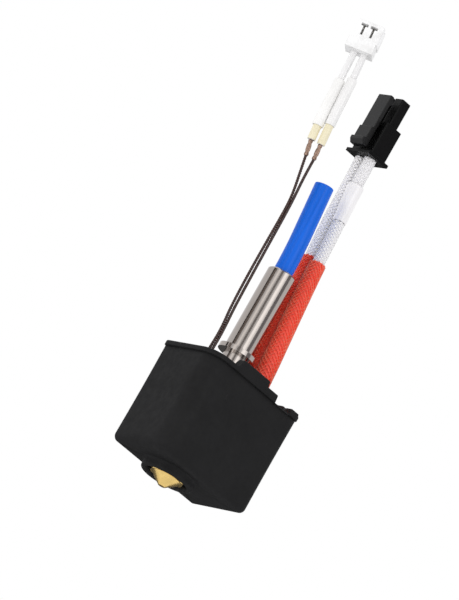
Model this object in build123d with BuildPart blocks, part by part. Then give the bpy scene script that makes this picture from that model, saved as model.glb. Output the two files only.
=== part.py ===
from build123d import *
import math
import os

# Hot end of a 3D printer, in millimetres. +Z runs up the filament axis and X along the block's
# long side. The origin is the centre of the heat break's flange, on its upper face.

# ---- fits -----------------------------------------------------------------------------------
running_gap = 0.05          # radial play of round parts that plug into one another
slip_gap = 0.10             # play of the sock's flat walls round the block

# ---- heat break, liner and nozzle -------------------------------------------------------------
tube_d, tube_h = 6.0, 18.5  # the part that a heat sink clamps
flange_d, flange_t = 8.0, 1.0
neck_d, neck_h = 5.0, 3.2
shoulder_d = 6.8
thread_d = 6.0              # M6 on heat break and nozzle
thread_h = 7.0
melt_bore_d = 2.0
lead_in = 0.3               # chamfer at the ends of turned parts

liner_d, liner_bore_d = 4.0, 2.0
liner_seat_z = -2.0
liner_bend_radius, liner_bend_angle = 110.0, 4.8
liner_bend_heading = 143.0  # degrees from +X, the side that the free end leans to
liner_end_run = 10.8

nozzle_af, nozzle_hex_h = 7.0, 3.0
nozzle_cone_h, nozzle_cone_d, nozzle_tip_d = 2.0, 6.6, 1.5
nozzle_hole_d, nozzle_hole_h = 0.4, 0.8
nozzle_neck_d, nozzle_neck_h = 5.0, 0.7
nozzle_corner_r, nozzle_corner_slope = 3.6, 30.0    # turned edge at the hexagon's lower face

# ---- heater block and what it holds -----------------------------------------------------------
block_x, block_y, block_z = 21.7, 12.9, 19.9
block_centre_x = 2.25       # the filament axis stands off the block's middle
block_top_z = -6.0
block_edge = 0.5
heater_d, heater_x, heater_shell_t, heater_plug_h = 6.0, 7.5, 0.4, 1.6
sensor_d, sensor_h, sensor_x, sensor_recess = 3.0, 12.0, -6.2, 0.2
grub_d, grub_key_af, grub_key_depth, grub_inset = 3.0, 1.5, 1.2, 0.15
heater_grub_z, sensor_grub_z = -16.0, -12.0

# ---- silicone sock ----------------------------------------------------------------------------
sock_wall, sock_floor, sock_draft = 1.9, 2.1, 0.3
sock_rim_z = -5.0
band_h, band_proud = 1.0, 0.3
sock_corner_r, sock_broad_corner_r, sock_edge_r = 1.7, 4.0, 1.6    # the broad corner is at -X -Y
tab_from_x, tab_to_x, tab_h = -3.5, 4.4, 1.8
step_to_x, step_h = 7.7, 0.6
notch_to_x, notch_depth = 12.2, 0.95
end_step_h = 0.35
end_tab_from_y, end_tab_to_y, end_tab_h, end_tab_slope = -4.2, 6.2, 1.1, 0.7    # along the +X wall
collar_d, collar_root_d, collar_h, collar_hole_d = 11.4, 13.0, 1.9, 8.9

# ---- leads ------------------------------------------------------------------------------------
heater_wire_d, red_sleeve_d, shrink_d, sleeve_gap = 2.0, 3.1, 3.2, 0.05
red_sleeve_base_z = -5.9
red_sleeve_top_z = {"a": 25.0, "b": 26.2}
shrink_base_z, shrink_top_z = 35.0, 43.4
sensor_wire_d, crimp_d, lead_d = 0.42, 0.95, 1.4
insulator_d, label_tube_d, plain_tube_d = 1.7, 2.3, 2.1
insulator_top_z = 49.8
tube_base_z = {"a": 47.5, "b": 48.7}
tube_top_z = {"a": 58.1, "b": 59.3}

# Each route lists the corner points of one lead, from the block up to its far end.
heater_routes = {
    "a": [(7.5, -1.7, -6.0), (7.25, -1.75, -0.5), (6.7, -1.2, 10.2), (6.6, 0.15, 23.6),
          (7.0, 1.3, 34.5), (6.45, 1.95, 43.2), (6.6, 2.1, 51.7)],
    "b": [(7.5, 1.7, -6.0), (7.2, 1.75, -0.5), (6.75, 2.2, 10.2), (6.9, 3.35, 24.1),
          (6.7, 4.5, 34.0), (7.05, 5.05, 43.2), (6.6, 5.1, 51.7)],
}
sensor_routes = {
    "a": [(-6.4, 0.3, -6.2), (-6.2, 0.32, -2.5), (-6.03, 0.38, 1.5), (-6.5, 0.6, 6.5),
          (-6.72, 0.66, 15.0), (-6.78, 0.6, 22.5), (-6.77, 0.56, 28.5), (-6.95, 0.6, 32.5),
          (-7.75, 0.92, 37.0), (-8.4, 1.3, 41.0)],
    "b": [(-6.0, -0.3, -6.2), (-5.82, -0.2, -2.5), (-5.67, 0.0, 1.5), (-6.0, 0.1, 6.5),
          (-6.2, 0.14, 15.0), (-6.34, 0.16, 22.5), (-6.4, 0.2, 28.5), (-6.55, 0.22, 32.5),
          (-6.98, 0.18, 37.0), (-7.0, 0.2, 41.0)],
}
lead_routes = {
    "a": [(-9.1, 1.45, 44.4), (-9.55, 1.6, 49.0), (-10.05, 1.62, 58.6), (-10.5, 1.44, 64.7),
          (-10.64, 1.54, 66.89)],
    "b": [(-7.4, 0.1, 44.4), (-8.0, 0.0, 49.0), (-8.5, -0.05, 58.6), (-9.14, -0.02, 64.7),
          (-9.28, 0.08, 66.89)],
}

# ---- power plug: two circuits in a row along Y, latch on the -X face -----------------------------
plug_x, plug_y, plug_base_z = 6.7, 3.6, 49.8
plug_pitch, plug_row_x = 3.0, 6.6
plug_body_x, plug_body_y, plug_body_h = 4.4, 6.6, 7.8
plug_flange_x, plug_flange_y, plug_flange_t = 5.9, 7.4, 0.7
tower_x, tower_y, tower_h = 2.5, 2.6, 6.1
plug_corner_r, tower_corner_r = 0.3, 0.35
cavity_side, wire_hole_d, wire_hole_h = 1.8, 2.2, 1.9
latch_y, latch_t, latch_gap = 4.0, 0.9, 0.7
latch_base_z, latch_top_z, latch_pivot_z = 51.0, 63.0, 56.6
latch_rib_y, latch_rib_t, latch_rib_play = 2.4, 0.8, 0.05
thumb_step, thumb_step_h = 0.4, 4.3         # pad that the thumb presses, above the lever's foot
thumb_ridge, thumb_ridge_from, thumb_ridge_to, thumb_ridge_slope = 1.0, 0.8, 1.5, 0.2
hook_reach, hook_from, hook_to, hook_slope = 0.5, 1.6, 1.0, 0.4    # below the lever's top
contact_side, contact_wall, contact_h, barrel_h = 1.5, 0.25, 8.0, 1.6

# ---- thermistor plug: two circuits, turned and tilted with its leads -----------------------------
sensor_plug = Plane(origin=(-9.82, 0.71, 64.7), x_dir=(0.682, -0.731, 0), z_dir=(-0.063, 0.047, 0.997))
sensor_pitch = 2.0
sensor_base_x, sensor_base_h = 5.8, 2.2
sensor_nose_x, sensor_nose_h, sensor_nose_shift = 5.2, 4.1, 0.25
sensor_plug_y = 4.4
sensor_cavity, sensor_hole_d = 1.3, 1.5
window_x, window_base, window_h = 0.5, 3.1, 1.9        # upright of each T-shaped window
window_bar_x, window_bar_h = 1.5, 0.6
sensor_contact, sensor_contact_base, sensor_contact_h = 1.0, 2.2, 3.8

block_bottom_z = block_top_z - block_z
thread_end_z = block_top_z - thread_h
nozzle_shank_h = thread_end_z - block_bottom_z
hex_top_z = block_bottom_z - nozzle_neck_h
hex_bottom_z = hex_top_z - nozzle_hex_h
sock_inner_x = block_x + 2 * slip_gap
sock_inner_y = block_y + 2 * slip_gap
sock_x = sock_inner_x + 2 * sock_wall
sock_y = sock_inner_y + 2 * sock_wall
sock_floor_z = block_bottom_z - slip_gap
sock_bottom_z = sock_floor_z - sock_floor
plug_face_x = plug_x - plug_body_x / 2
latch_inner_x = plug_face_x - latch_gap

os.makedirs("parts", exist_ok=True)


def save(piece, name):
    """Label a finished piece and write it as its own STEP file."""
    piece.part.label = name
    export_step(piece.part, f"parts/{name}.step")


def bent_path(name, route):
    """Straight runs joined by the largest tangent arcs that the runs allow."""
    points = [Vector(*point) for point in route]
    radii = []
    for before, corner, after in zip(points, points[1:], points[2:]):
        shorter_run = min((corner - before).length, (after - corner).length)
        turn = math.radians((corner - before).get_angle(after - corner))
        radii.append(0.45 * shorter_run / math.tan(turn / 2))
    print(name, "radii", [round(radius) for radius in radii])
    with BuildLine() as line:
        FilletPolyline(*points, radius=radii)
    return line.wire()


def swept_tube(path, outer_d, inner_d=0.0, base_z=None, top_z=None):
    """A round tube along a path, cut level at base_z and top_z where they are given."""
    with BuildPart() as tube:
        with BuildSketch(Plane(origin=path @ 0, z_dir=path % 0)):
            Circle(outer_d / 2)
            if inner_d:
                Circle(inner_d / 2, mode=Mode.SUBTRACT)
        sweep(path=path)
        if base_z is not None:
            split(bisect_by=Plane.XY.offset(base_z), keep=Keep.TOP)
        if top_z is not None:
            split(bisect_by=Plane.XY.offset(top_z), keep=Keep.BOTTOM)
    return tube


# ---- heat break ---------------------------------------------------------------------------------
with BuildPart() as heat_break:
    with BuildSketch(Plane.XY.offset(thread_end_z)):
        Circle(thread_d / 2)
    extrude(amount=thread_h)
    with BuildSketch(Plane.XY.offset(block_top_z)):
        Circle(shoulder_d / 2)
    extrude(amount=-block_top_z - flange_t - neck_h)
    with BuildSketch(Plane.XY.offset(-flange_t - neck_h)):
        Circle(neck_d / 2)
    extrude(amount=neck_h)
    with BuildSketch(Plane.XY.offset(-flange_t)):
        Circle(flange_d / 2)
    extrude(amount=flange_t)
    with BuildSketch(Plane.XY):
        Circle(tube_d / 2)
    extrude(amount=tube_h)
    rim = heat_break.faces().sort_by(Axis.Z)[-1].edges()
    chamfer(rim, length=lead_in)
    with BuildSketch(Plane.XY.offset(liner_seat_z)):
        Circle(liner_d / 2 + running_gap)
    extrude(amount=tube_h - liner_seat_z, mode=Mode.SUBTRACT)
    with BuildSketch(Plane.XY.offset(thread_end_z)):
        Circle(melt_bore_d / 2)
    extrude(amount=liner_seat_z - thread_end_z, mode=Mode.SUBTRACT)
save(heat_break, "heat_break")

# ---- PTFE liner: straight in the heat break, leaning where it stands free -----------------------
bend_heading = math.radians(liner_bend_heading)
bend_plane = Plane(origin=(0, 0, 0), x_dir=(math.cos(bend_heading), math.sin(bend_heading), 0),
                   z_dir=(math.sin(bend_heading), -math.cos(bend_heading), 0))
bend_arc_end = (liner_bend_radius * (1 - math.cos(math.radians(liner_bend_angle))),
                tube_h + liner_bend_radius * math.sin(math.radians(liner_bend_angle)))
with BuildPart() as ptfe_liner:
    with BuildLine(bend_plane) as liner_line:
        Line((0, liner_seat_z), (0, tube_h))
        TangentArc((0, tube_h), bend_arc_end, tangent=(0, 1))
        PolarLine(start=bend_arc_end, length=liner_end_run, angle=90 - liner_bend_angle)
    with BuildSketch(Plane.XY.offset(liner_seat_z)):
        Circle(liner_d / 2)
        Circle(liner_bore_d / 2, mode=Mode.SUBTRACT)
    sweep(path=liner_line.wire())
save(ptfe_liner, "ptfe_liner")

# ---- nozzle ---------------------------------------------------------------------------------------
with BuildPart() as nozzle:
    with BuildSketch(Plane.XY.offset(hex_bottom_z)):
        RegularPolygon(radius=nozzle_af / 2, side_count=6, major_radius=False)
    extrude(amount=nozzle_hex_h)
    with BuildSketch(Plane.XY.offset(hex_bottom_z)):
        Circle(nozzle_corner_r)
    extrude(amount=nozzle_hex_h, taper=-nozzle_corner_slope, mode=Mode.INTERSECT)
    with BuildSketch(Plane.XY.offset(hex_top_z)):
        Circle(nozzle_neck_d / 2)
    extrude(amount=nozzle_neck_h)
    with BuildSketch(Plane.XY.offset(block_bottom_z)):
        Circle(thread_d / 2)
    extrude(amount=nozzle_shank_h)
    with BuildSketch(Plane.XY.offset(hex_bottom_z - nozzle_cone_h)):
        Circle(nozzle_tip_d / 2)
    with BuildSketch(Plane.XY.offset(hex_bottom_z)):
        Circle(nozzle_cone_d / 2)
    loft()
    melt_end_z = hex_bottom_z - nozzle_cone_h + nozzle_hole_h
    with BuildSketch(Plane.XY.offset(melt_end_z)):
        Circle(melt_bore_d / 4)
    with BuildSketch(Plane.XY.offset(hex_bottom_z)):
        Circle(melt_bore_d / 2)
    loft(mode=Mode.SUBTRACT)
    with BuildSketch(Plane.XY.offset(hex_bottom_z)):
        Circle(melt_bore_d / 2)
    extrude(amount=thread_end_z - hex_bottom_z, mode=Mode.SUBTRACT)
    with BuildSketch(Plane.XY.offset(hex_bottom_z - nozzle_cone_h)):
        Circle(nozzle_hole_d / 2)
    extrude(amount=nozzle_cone_h, mode=Mode.SUBTRACT)
save(nozzle, "nozzle")

# ---- heater block ---------------------------------------------------------------------------------
with BuildPart() as heater_block:
    with BuildSketch(Plane.XY.offset(block_bottom_z)):
        with Locations((block_centre_x, 0)):
            Rectangle(block_x, block_y)
    extrude(amount=block_z)
    chamfer(heater_block.edges(), length=block_edge)
    with BuildSketch(Plane.XY.offset(block_bottom_z)):
        Circle(thread_d / 2 + running_gap)
        with Locations((heater_x, 0)):
            Circle(heater_d / 2 + running_gap)
    extrude(amount=block_z, mode=Mode.SUBTRACT)
    with BuildSketch(Plane.XY.offset(block_top_z)):
        with Locations((sensor_x, 0)):
            Circle(sensor_d / 2 + running_gap)
    extrude(amount=-sensor_h - sensor_recess, mode=Mode.SUBTRACT)
    with BuildSketch(Plane.XZ):
        with Locations((heater_x, heater_grub_z), (sensor_x, sensor_grub_z)):
            Circle(grub_d / 2 + running_gap)
    extrude(amount=block_y / 2, mode=Mode.SUBTRACT)
save(heater_block, "heater_block")

# ---- heater cartridge, its ceramic end and the thermistor cartridge --------------------------------
with BuildPart() as heater_cartridge:
    with BuildSketch(Plane.XY.offset(block_bottom_z)):
        with Locations((heater_x, 0)):
            Circle(heater_d / 2)
    extrude(amount=block_z)
    with BuildSketch(Plane.XY.offset(block_top_z - heater_plug_h)):
        with Locations((heater_x, 0)):
            Circle(heater_d / 2 - heater_shell_t)
    extrude(amount=heater_plug_h, mode=Mode.SUBTRACT)
save(heater_cartridge, "heater_cartridge")

with BuildPart() as heater_ceramic_plug:
    with BuildSketch(Plane.XY.offset(block_top_z - heater_plug_h)):
        with Locations((heater_x, 0)):
            Circle(heater_d / 2 - heater_shell_t)
    extrude(amount=heater_plug_h)
save(heater_ceramic_plug, "heater_ceramic_plug")

with BuildPart() as thermistor_cartridge:
    with BuildSketch(Plane.XY.offset(block_top_z - sensor_recess)):
        with Locations((sensor_x, 0)):
            Circle(sensor_d / 2)
    extrude(amount=-sensor_h)
    chamfer(thermistor_cartridge.edges().sort_by(Axis.Z)[0], length=lead_in)
save(thermistor_cartridge, "thermistor_cartridge")

# ---- grub screws that hold the two cartridges ------------------------------------------------------
grub_screws = {
    "heater_grub_screw": (heater_x, heater_grub_z, heater_d / 2),
    "thermistor_grub_screw": (sensor_x, sensor_grub_z, sensor_d / 2),
}
for grub_name, (grub_x, grub_z, bore_r) in grub_screws.items():
    grub_outer = block_y / 2 - grub_inset
    with BuildPart() as grub_screw:
        with BuildSketch(Plane.XZ.offset(bore_r + running_gap)):
            with Locations((grub_x, grub_z)):
                Circle(grub_d / 2)
        extrude(amount=grub_outer - bore_r - running_gap)
        chamfer(grub_screw.edges().sort_by(Axis.Y)[-1], length=lead_in)
        with BuildSketch(Plane.XZ.offset(grub_outer)):
            with Locations((grub_x, grub_z)):
                RegularPolygon(radius=grub_key_af / 2, side_count=6, major_radius=False)
        extrude(amount=-grub_key_depth, mode=Mode.SUBTRACT)
    save(grub_screw, grub_name)

# ---- silicone sock -----------------------------------------------------------------------------------
def sock_rectangle(grown):
    """The sock's outline, grown by a distance, with its one broad corner."""
    with BuildSketch() as outline:
        with Locations((block_centre_x, 0)):
            Rectangle(sock_x + 2 * grown, sock_y + 2 * grown)
        corners = outline.vertices().sort_by(lambda corner: corner.X + corner.Y)
        fillet(corners[0], radius=sock_broad_corner_r + grown)
        fillet(corners[1:], radius=sock_corner_r + grown)
    return outline.sketch


sock_end_x = block_centre_x + sock_x / 2 + band_proud
with BuildPart() as silicone_sock:
    with BuildSketch(Plane.XY.offset(sock_rim_z)):
        add(sock_rectangle(0))
    extrude(amount=sock_bottom_z - sock_rim_z, taper=sock_draft)
    floor_edges = silicone_sock.faces().sort_by(Axis.Z)[0].edges()
    fillet(floor_edges, radius=sock_edge_r)
    with BuildSketch(Plane.XY.offset(sock_rim_z - band_h)):
        add(sock_rectangle(band_proud))
    extrude(amount=band_h)
    with BuildSketch(Plane.XZ.offset(sock_inner_y / 2)):
        with BuildLine():
            Polyline((tab_from_x - tab_h / 2, sock_rim_z - band_h), (tab_from_x, sock_rim_z + tab_h),
                     (tab_to_x, sock_rim_z + tab_h), (tab_to_x, sock_rim_z + step_h),
                     (step_to_x, sock_rim_z + step_h), (step_to_x, sock_rim_z - band_h), close=True)
        make_face()
        with Locations(((notch_to_x + sock_end_x - sock_corner_r) / 2, sock_rim_z + end_step_h / 2)):
            Rectangle(sock_end_x - sock_corner_r - notch_to_x, end_step_h)
    extrude(amount=sock_wall + band_proud)
    with BuildSketch(Plane.XZ.offset(sock_inner_y / 2)):
        with Locations(((step_to_x + notch_to_x) / 2, sock_rim_z)):
            Rectangle(notch_to_x - step_to_x, 2 * notch_depth)
    extrude(amount=sock_wall + 2 * band_proud, mode=Mode.SUBTRACT)
    with BuildSketch(Plane.YZ.offset(block_centre_x + sock_inner_x / 2)):
        with BuildLine():
            Polyline((end_tab_from_y - end_tab_slope, sock_rim_z), (end_tab_from_y, sock_rim_z + end_tab_h),
                     (end_tab_to_y, sock_rim_z + end_tab_h), (end_tab_to_y + end_tab_slope, sock_rim_z),
                     (end_tab_to_y + end_tab_slope, sock_rim_z - band_h),
                     (end_tab_from_y - end_tab_slope, sock_rim_z - band_h), close=True)
        make_face()
    extrude(amount=sock_wall + band_proud)
    with BuildSketch(Plane.XY.offset(sock_bottom_z - collar_h)):
        Circle(collar_d / 2)
    with BuildSketch(Plane.XY.offset(sock_bottom_z)):
        Circle(collar_root_d / 2)
    loft()
    with BuildSketch(Plane.XY.offset(sock_floor_z)):
        with Locations((block_centre_x, 0)):
            Rectangle(sock_inner_x, sock_inner_y)
    extrude(amount=sock_rim_z - sock_floor_z, mode=Mode.SUBTRACT)
    with BuildSketch(Plane.XY.offset(sock_bottom_z - collar_h)):
        Circle(collar_hole_d / 2)
    extrude(amount=collar_h + sock_floor, mode=Mode.SUBTRACT)
save(silicone_sock, "silicone_sock")

# ---- heater leads: braided wires, red sleeves and the heat shrink on the front one ---------------------
for side, route in heater_routes.items():
    path = bent_path(f"heater_wire_{side}", route)
    heater_wire = swept_tube(path, heater_wire_d)
    print("  length", round(path.length, 1), "volume ratio",
          round(heater_wire.part.volume / (path.length * math.pi * heater_wire_d ** 2 / 4), 4))
    save(heater_wire, f"heater_wire_{side}")
    sleeve_bore = heater_wire_d + 2 * sleeve_gap
    save(swept_tube(path, red_sleeve_d, sleeve_bore, red_sleeve_base_z, red_sleeve_top_z[side]),
         f"red_sleeve_{side}")
    if side == "a":
        save(swept_tube(path, shrink_d, sleeve_bore, shrink_base_z, shrink_top_z), "heat_shrink")

# ---- thermistor leads: thin wires, crimps, insulators, white tubes and plug leads ----------------------
outer_tube_d = {"a": label_tube_d, "b": plain_tube_d}
for side, route in sensor_routes.items():
    path = bent_path(f"thermistor_wire_{side}", route)
    thermistor_wire = swept_tube(path, sensor_wire_d)
    print("  length", round(path.length, 1), "volume ratio",
          round(thermistor_wire.part.volume / (path.length * math.pi * sensor_wire_d ** 2 / 4), 4))
    save(thermistor_wire, f"thermistor_wire_{side}")

    lead_route = lead_routes[side]
    crimp_run = Vector(*lead_route[0]) - Vector(*route[-1])
    with BuildPart() as splice_crimp:
        with BuildSketch(Plane(origin=route[-1], z_dir=crimp_run)):
            Circle(crimp_d / 2)
        extrude(amount=crimp_run.length)
    save(splice_crimp, f"splice_crimp_{side}")

    path = bent_path(f"thermistor_lead_{side}", lead_route)
    print("  length", round(path.length, 1))
    lead_bore = lead_d + 2 * sleeve_gap
    save(swept_tube(path, lead_d), f"thermistor_lead_{side}")
    save(swept_tube(path, insulator_d, lead_bore, top_z=insulator_top_z), f"splice_insulator_{side}")
    save(swept_tube(path, outer_tube_d[side], insulator_d + 2 * sleeve_gap, tube_base_z[side], tube_top_z[side]),
         f"lead_tube_{side}")

# ---- power plug housing, contacts and latch -------------------------------------------------------------
shoulder_z = plug_base_z + plug_body_h
row_places = [(plug_row_x, plug_y + shift) for shift in (-plug_pitch / 2, plug_pitch / 2)]
with BuildPart() as power_plug_housing:
    with BuildSketch(Plane.XY.offset(plug_base_z)):
        with Locations((plug_x, plug_y)):
            Rectangle(plug_flange_x, plug_flange_y)
    extrude(amount=plug_flange_t)
    with BuildSketch(Plane.XY.offset(plug_base_z)):
        with Locations((plug_x, plug_y)):
            RectangleRounded(plug_body_x, plug_body_y, plug_corner_r)
    extrude(amount=plug_body_h)
    with BuildSketch(Plane.XY.offset(shoulder_z)):
        with Locations(*row_places):
            RectangleRounded(tower_x, tower_y, tower_corner_r)
    extrude(amount=tower_h)
    with BuildSketch(Plane.XZ.offset(-plug_y - latch_rib_y / 2)):
        with Locations((plug_face_x - latch_gap / 2 + latch_rib_play / 2, latch_pivot_z)):
            Rectangle(latch_gap - latch_rib_play, latch_rib_t)
    extrude(amount=latch_rib_y)
    with BuildSketch(Plane.XY.offset(plug_base_z)):
        with Locations(*row_places):
            Circle(wire_hole_d / 2)
    extrude(amount=wire_hole_h, mode=Mode.SUBTRACT)
    with BuildSketch(Plane.XY.offset(plug_base_z + wire_hole_h)):
        with Locations(*row_places):
            Rectangle(cavity_side, cavity_side)
    extrude(amount=plug_body_h + tower_h - wire_hole_h, mode=Mode.SUBTRACT)
save(power_plug_housing, "power_plug_housing")

latch_outer_x = latch_inner_x - latch_t
thumb_step_x = latch_outer_x - thumb_step
thumb_ridge_x = latch_outer_x - thumb_ridge
thumb_ridge_z = latch_base_z + thumb_ridge_to
hook_x = latch_inner_x + hook_reach
with BuildPart() as power_plug_latch:
    with BuildSketch(Plane.XZ.offset(-plug_y - latch_y / 2)):
        with BuildLine():
            Polyline((latch_inner_x, latch_base_z),
                     (latch_inner_x, latch_top_z - hook_from - hook_slope),
                     (hook_x, latch_top_z - hook_from),
                     (hook_x, latch_top_z - hook_to),
                     (latch_inner_x, latch_top_z),
                     (latch_outer_x, latch_top_z),
                     (latch_outer_x, latch_base_z + thumb_step_h),
                     (thumb_step_x, latch_base_z + thumb_step_h),
                     (thumb_step_x, thumb_ridge_z + thumb_ridge_slope),
                     (thumb_ridge_x, thumb_ridge_z),
                     (thumb_ridge_x, latch_base_z + thumb_ridge_from),
                     (thumb_step_x, latch_base_z), close=True)
        make_face()
    extrude(amount=latch_y)
save(power_plug_latch, "power_plug_latch")

for side, place in zip(heater_routes, row_places):
    barrel_base_z = heater_routes[side][-1][2]
    with BuildPart() as power_terminal:
        with BuildSketch(Plane.XY.offset(barrel_base_z)):
            with Locations(place):
                Circle(contact_side / 2)
        extrude(amount=barrel_h)
        with BuildSketch(Plane.XY.offset(barrel_base_z + barrel_h)):
            with Locations(place):
                Rectangle(contact_side, contact_side)
        extrude(amount=contact_h)
        with BuildSketch(Plane.XY.offset(barrel_base_z + barrel_h + contact_wall)):
            with Locations(place):
                Rectangle(contact_side - 2 * contact_wall, contact_side - 2 * contact_wall)
        extrude(amount=contact_h - contact_wall, mode=Mode.SUBTRACT)
    save(power_terminal, f"power_terminal_{side}")

# ---- thermistor plug housing and contacts -----------------------------------------------------------------
sensor_places = [(-sensor_pitch / 2, 0), (sensor_pitch / 2, 0)]
sensor_plug_h = sensor_base_h + sensor_nose_h
with BuildPart() as thermistor_plug_housing:
    with BuildSketch(sensor_plug):
        with Locations((-sensor_nose_shift, 0)):
            Rectangle(sensor_base_x, sensor_plug_y)
    extrude(amount=sensor_base_h)
    with BuildSketch(sensor_plug.offset(sensor_base_h)):
        with Locations((sensor_nose_shift, 0)):
            Rectangle(sensor_nose_x, sensor_plug_y)
    extrude(amount=sensor_nose_h)
    with BuildSketch(sensor_plug):
        with Locations(*sensor_places):
            Circle(sensor_hole_d / 2)
    extrude(amount=sensor_contact_base, mode=Mode.SUBTRACT)
    with BuildSketch(sensor_plug.offset(sensor_contact_base)):
        with Locations(*sensor_places):
            Rectangle(sensor_cavity, sensor_cavity)
    extrude(amount=sensor_plug_h - sensor_contact_base, mode=Mode.SUBTRACT)
    with BuildSketch(sensor_plug.offset(window_base)):
        with Locations(*[(x, -sensor_plug_y / 4) for x, _ in sensor_places]):
            Rectangle(window_x, sensor_plug_y / 2)
    extrude(amount=window_h, mode=Mode.SUBTRACT)
    with BuildSketch(sensor_plug.offset(window_base + window_h)):
        with Locations(*[(x, -sensor_plug_y / 4) for x, _ in sensor_places]):
            Rectangle(window_bar_x, sensor_plug_y / 2)
    extrude(amount=window_bar_h, mode=Mode.SUBTRACT)
save(thermistor_plug_housing, "thermistor_plug_housing")

for side, place in zip(lead_routes, sensor_places):
    with BuildPart() as thermistor_terminal:
        with BuildSketch(sensor_plug.offset(sensor_contact_base)):
            with Locations(place):
                Rectangle(sensor_contact, sensor_contact)
        extrude(amount=sensor_contact_h)
        with BuildSketch(sensor_plug.offset(sensor_contact_base + sensor_contact)):
            with Locations(place):
                Rectangle(sensor_contact / 2, sensor_contact / 2)
        extrude(amount=sensor_contact_h - sensor_contact, mode=Mode.SUBTRACT)
    save(thermistor_terminal, f"thermistor_terminal_{side}")
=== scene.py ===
import math

import bmesh
import bpy
from bpy.props import FloatProperty, FloatVectorProperty, IntProperty, PointerProperty
from bpy.types import Operator, Panel, PropertyGroup
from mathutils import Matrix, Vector


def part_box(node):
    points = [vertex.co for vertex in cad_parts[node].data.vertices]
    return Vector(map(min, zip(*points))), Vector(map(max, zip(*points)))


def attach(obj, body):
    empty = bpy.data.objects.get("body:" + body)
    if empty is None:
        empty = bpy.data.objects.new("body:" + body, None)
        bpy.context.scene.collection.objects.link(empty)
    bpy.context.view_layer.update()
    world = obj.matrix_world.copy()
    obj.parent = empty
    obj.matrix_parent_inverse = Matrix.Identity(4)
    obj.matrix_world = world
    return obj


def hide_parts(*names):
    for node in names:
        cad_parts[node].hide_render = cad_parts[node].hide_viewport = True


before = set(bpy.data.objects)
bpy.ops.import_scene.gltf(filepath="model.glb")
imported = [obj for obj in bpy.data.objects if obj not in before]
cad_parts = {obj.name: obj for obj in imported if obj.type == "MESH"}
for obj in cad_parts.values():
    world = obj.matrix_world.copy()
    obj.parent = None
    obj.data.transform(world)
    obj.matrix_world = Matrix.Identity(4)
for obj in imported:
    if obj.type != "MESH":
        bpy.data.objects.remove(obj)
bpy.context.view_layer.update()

bl_info = {
    "name": "Printer hot end",
    "version": (1, 0, 0),
    "blender": (4, 5, 0),
    "location": "3D View > Sidebar > Hot end",
    "description": "Builds a printer hot end with sock, liner, leads and plugs on its CAD frame",
    "category": "Object",
}

MATH, VECTOR, RANGE = "ShaderNodeMath", "ShaderNodeVectorMath", "ShaderNodeMapRange"
# The stretch of a pattern into rings round the Z axis.
LATHE_RINGS = (0.02, 0.02, 1.0)
# A rounded edge's points, as shares of its radius: along the piece, and back from its side.
ROUNDED = ((0.0, 1.0), (0.29, 0.29), (1.0, 0.0))


def in_metres(routes):
    """Routes given in millimetres, in the scene's metres."""
    return {side: [tuple(c / 1000 for c in point) for point in route]
            for side, route in routes.items()}


# The leads' control points, from the block up to the plug or crimp.
HEATER_ROUTES = in_metres({
    "a": [(7.5, -1.7, -6), (7.25, -1.75, -0.5), (6.7, -1.2, 10.2), (6.6, 0.15, 23.6),
          (7, 1.3, 34.5), (6.45, 1.95, 43.2), (6.6, 2.1, 51.7)],
    "b": [(7.5, 1.7, -6), (7.2, 1.75, -0.5), (6.75, 2.2, 10.2), (6.9, 3.35, 24.1), (6.7, 4.5, 34),
          (7.05, 5.05, 43.2), (6.6, 5.1, 51.7)],
})
SENSOR_ROUTES = in_metres({
    "a": [(-6.4, 0.3, -6.2), (-6.2, 0.32, -2.5), (-6.03, 0.38, 1.5), (-6.5, 0.6, 6.5),
          (-6.72, 0.66, 15), (-6.78, 0.6, 22.5), (-6.77, 0.56, 28.5), (-6.95, 0.6, 32.5),
          (-7.75, 0.92, 37), (-8.4, 1.3, 41)],
    "b": [(-6, -0.3, -6.2), (-5.82, -0.2, -2.5), (-5.67, 0, 1.5), (-6, 0.1, 6.5), (-6.2, 0.14, 15),
          (-6.34, 0.16, 22.5), (-6.4, 0.2, 28.5), (-6.55, 0.22, 32.5), (-6.98, 0.18, 37),
          (-7, 0.2, 41)],
})
LEAD_ROUTES = in_metres({
    "a": [(-9.1, 1.45, 44.4), (-9.55, 1.6, 49), (-10.05, 1.62, 58.6), (-10.5, 1.44, 64.7),
          (-10.64, 1.54, 66.89)],
    "b": [(-7.4, 0.1, 44.4), (-8, 0, 49), (-8.5, -0.05, 58.6), (-9.14, -0.02, 64.7),
          (-9.28, 0.08, 66.89)],
})


# ---- colours and materials ----

def linear(code):
    """The linear colour of an sRGB hex value."""
    shares = [int(code[i:i + 2], 16) / 255 for i in (1, 3, 5)]
    return tuple(c / 12.92 if c <= 0.04045 else ((c + 0.055) / 1.055) ** 2.4 for c in shares)


def scaled(colour, share):
    """A colour made darker or lighter."""
    return tuple(min(1.0, c * share) for c in colour)


def shades(colour, dark, light):
    """A darker and a lighter tone of a colour."""
    return scaled(colour, dark), scaled(colour, light)


def add(tree, kind, *inputs, out=0, **settings):
    """Adds one node and gives one of its outputs.

    An input is a value or the socket that feeds it, in the node's own order or named in a
    dictionary. Settings are the node's properties."""
    node = tree.nodes.new(kind)
    for key, value in settings.items():
        setattr(node, key, value)
    named = {}
    for place, value in enumerate(inputs):
        named.update(value if isinstance(value, dict) else {place: value})
    for key, value in named.items():
        if isinstance(value, bpy.types.NodeSocket):
            tree.links.new(value, node.inputs[key])
        else:
            node.inputs[key].default_value = value
    return node.outputs[out] if len(node.outputs) else None


def mottle(tree, place, per_metre, stretch=(1, 1, 1), detail=3.0):
    """Soft noise whose grains are 1 / per_metre wide, drawn out by stretch."""
    mapped = add(tree, "ShaderNodeMapping", {"Vector": place, "Scale": stretch})
    return add(tree, "ShaderNodeTexNoise", {
        "Vector": mapped, "Scale": per_metre, "Detail": detail, "Roughness": 0.55})


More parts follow.
